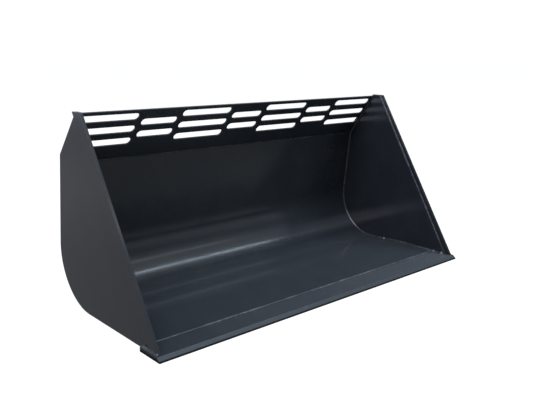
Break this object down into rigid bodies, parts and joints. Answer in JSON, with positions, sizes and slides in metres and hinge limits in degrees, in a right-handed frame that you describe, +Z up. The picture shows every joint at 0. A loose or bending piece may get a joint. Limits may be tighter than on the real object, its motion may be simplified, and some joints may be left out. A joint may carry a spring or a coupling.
{
  "type": "skid steer bucket",
  "caption": "Wide welded loader bucket with a curved shell, slotted spill guard, bevelled cutting edge and a quick-attach hitch on its back.",
  "frame": {"origin": "on the ground, under the middle of the whole bucket with its hitch", "axes": "+X along the bucket's width, +Y from the cutting edge towards the hitch, +Z up"},
  "size_m": [1.83, 0.8986, 0.81],
  "materials": {
    "body_paint": "gloss",
    "edge_paint": "gloss",
    "hitch_paint": "satin"
  },
  "bodies": {
    "root": {"side_plate_left": "body_paint", "side_plate_right": "body_paint", "side_bar_left": "body_paint", "side_bar_right": "body_paint", "shell_sheet": "body_paint", "spill_guard": "body_paint", "guard_rear_bar": "body_paint", "cutting_edge": "edge_paint", "wear_strip_1": "edge_paint", "wear_strip_2": "edge_paint", "wear_strip_3": "edge_paint", "wear_strip_4": "edge_paint", "hitch_face_plate": "hitch_paint", "hitch_hook": "hitch_paint", "hitch_latch_lip": "hitch_paint", "hitch_foot_plate": "hitch_paint", "hitch_ear_left": "hitch_paint", "hitch_ear_right": "hitch_paint", "hitch_rib_left": "hitch_paint", "hitch_rib_right": "hitch_paint", "hook_gusset_1": "hitch_paint", "hook_gusset_2": "hitch_paint", "hook_gusset_3": "hitch_paint"}
  },
  "joints": []
}
